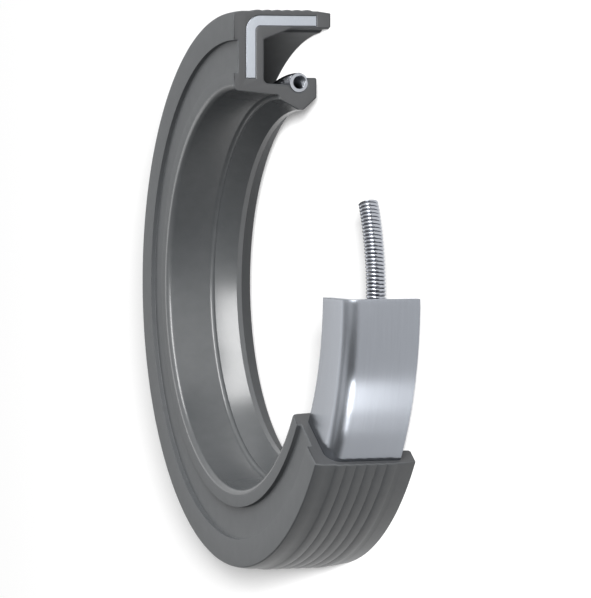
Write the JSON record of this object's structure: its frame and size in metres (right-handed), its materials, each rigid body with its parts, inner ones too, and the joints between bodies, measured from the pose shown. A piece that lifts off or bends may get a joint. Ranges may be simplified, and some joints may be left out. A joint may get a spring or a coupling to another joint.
{
  "type": "radial shaft seal",
  "caption": "Sectioned radial shaft seal: rubber body moulded over an L-shaped steel case, with a sealing lip pressed to the shaft by a coiled garter spring.",
  "frame": {"origin": "the seal's axis where it meets the plane of the sleeve's rear end, on which the part lies", "axes": "+Z along the seal's axis from the oil side to the air side; +Y towards the cut face that the rubber and the case share; +X towards the cut end of the case"},
  "size_m": [0.042, 0.0424, 0.0079],
  "materials": {
    "rubber": "moulded satin dark grey nitrile rubber",
    "case_steel": "smooth bright rolled sheet",
    "spring_steel": "bright drawn wire"
  },
  "bodies": {
    "root": {"rubber_body": "rubber", "steel_case": "case_steel", "garter_spring": "spring_steel"}
  },
  "joints": []
}
